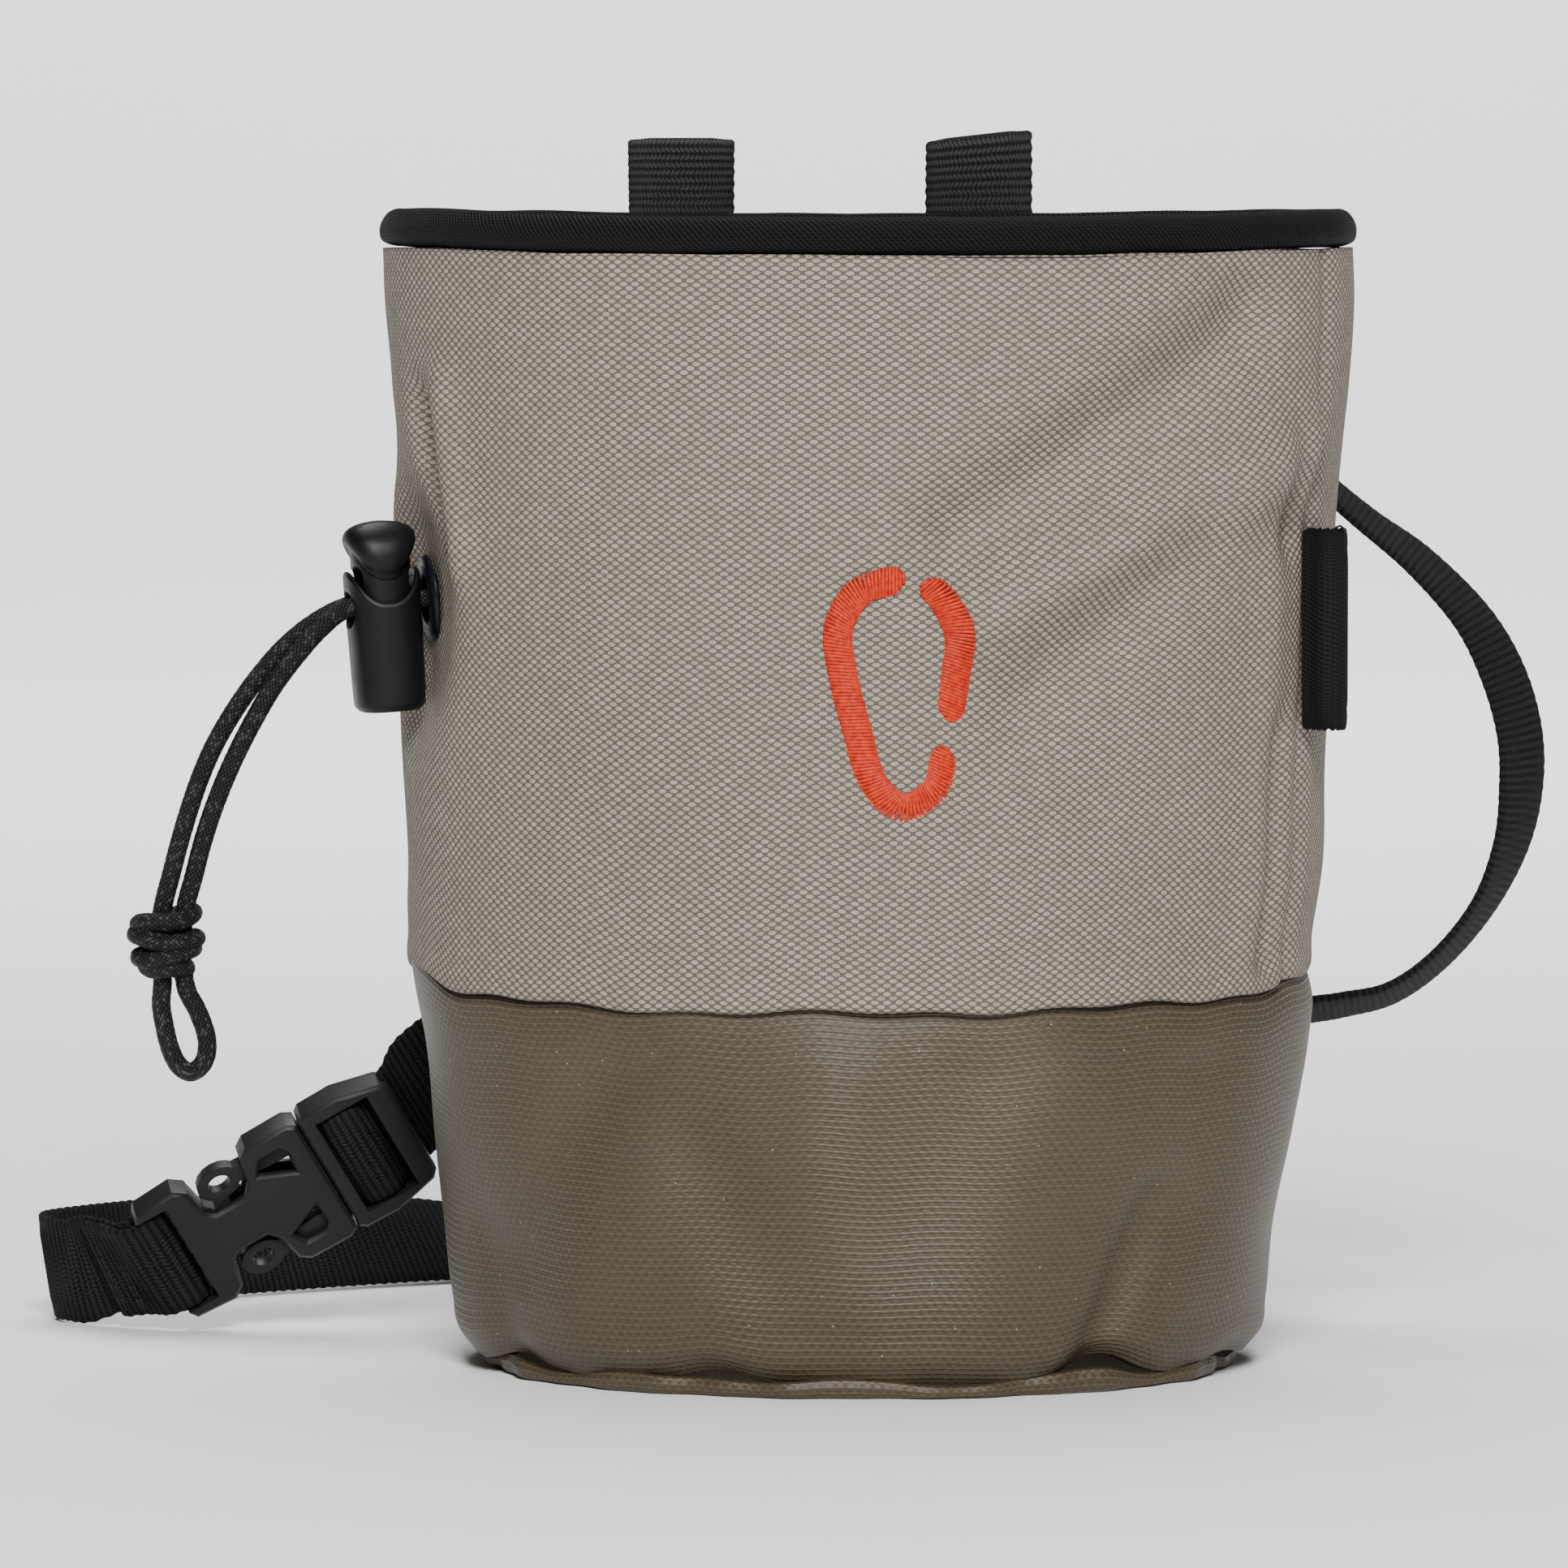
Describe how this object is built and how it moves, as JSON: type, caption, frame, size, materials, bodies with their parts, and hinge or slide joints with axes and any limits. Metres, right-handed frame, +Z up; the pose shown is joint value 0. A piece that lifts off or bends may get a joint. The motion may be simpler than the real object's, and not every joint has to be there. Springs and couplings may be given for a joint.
{
  "type": "climbing chalk bag",
  "caption": "Open-topped cloth chalk bag with a rolled rim, drawcord and cord lock, brush loop, belt loops and a buckled webbing belt.",
  "frame": {"origin": "middle of the base's underside, on the surface that the bag stands on", "axes": "+Z up, -Y towards the bag's front, +X to the right seen from the front"},
  "size_m": [0.2136, 0.1822, 0.169],
  "materials": {
    "upper_cloth": "matte basket weave nylon",
    "lower_cloth": "coated ribbed nylon",
    "base_cloth": "coated ribbed nylon",
    "binding_tape": "twill tape",
    "cuff_cloth": "brushed knit",
    "loop_webbing": "ribbed webbing",
    "belt_webbing": "ribbed webbing",
    "elastic": "knitted elastic",
    "cord_braid": "braided cord with grey flecks",
    "eyelet_metal": "dark smooth",
    "lock_plastic": "satin moulded",
    "buckle_plastic": "satin moulded"
  },
  "bodies": {
    "bag": {"upper_panel": "upper_cloth", "lower_panel": "lower_cloth", "base_panel": "base_cloth", "rim_binding": "binding_tape", "inner_cuff": "cuff_cloth", "belt_loop_left": "loop_webbing", "belt_loop_right": "loop_webbing", "brush_loop": "elastic", "eyelet": "eyelet_metal", "cord_lock_barrel": "lock_plastic", "drawcord_strand_back": "cord_braid", "drawcord_strand_front": "cord_braid", "drawcord_end_loop": "cord_braid", "drawcord_knot": "cord_braid", "buckle_socket": "buckle_plastic", "buckle_plug": "buckle_plastic", "belt_strap": "belt_webbing"},
    "lock_button": {"cord_lock_button": "lock_plastic"}
  },
  "joints": [
    {"name": "lock_button_press", "type": "slide", "parent": "bag", "child": "lock_button", "axis": [0.0663, 0.0153, -0.9977], "range_m": [0, 0.003], "stiffness_N_per_m": 600}
  ]
}
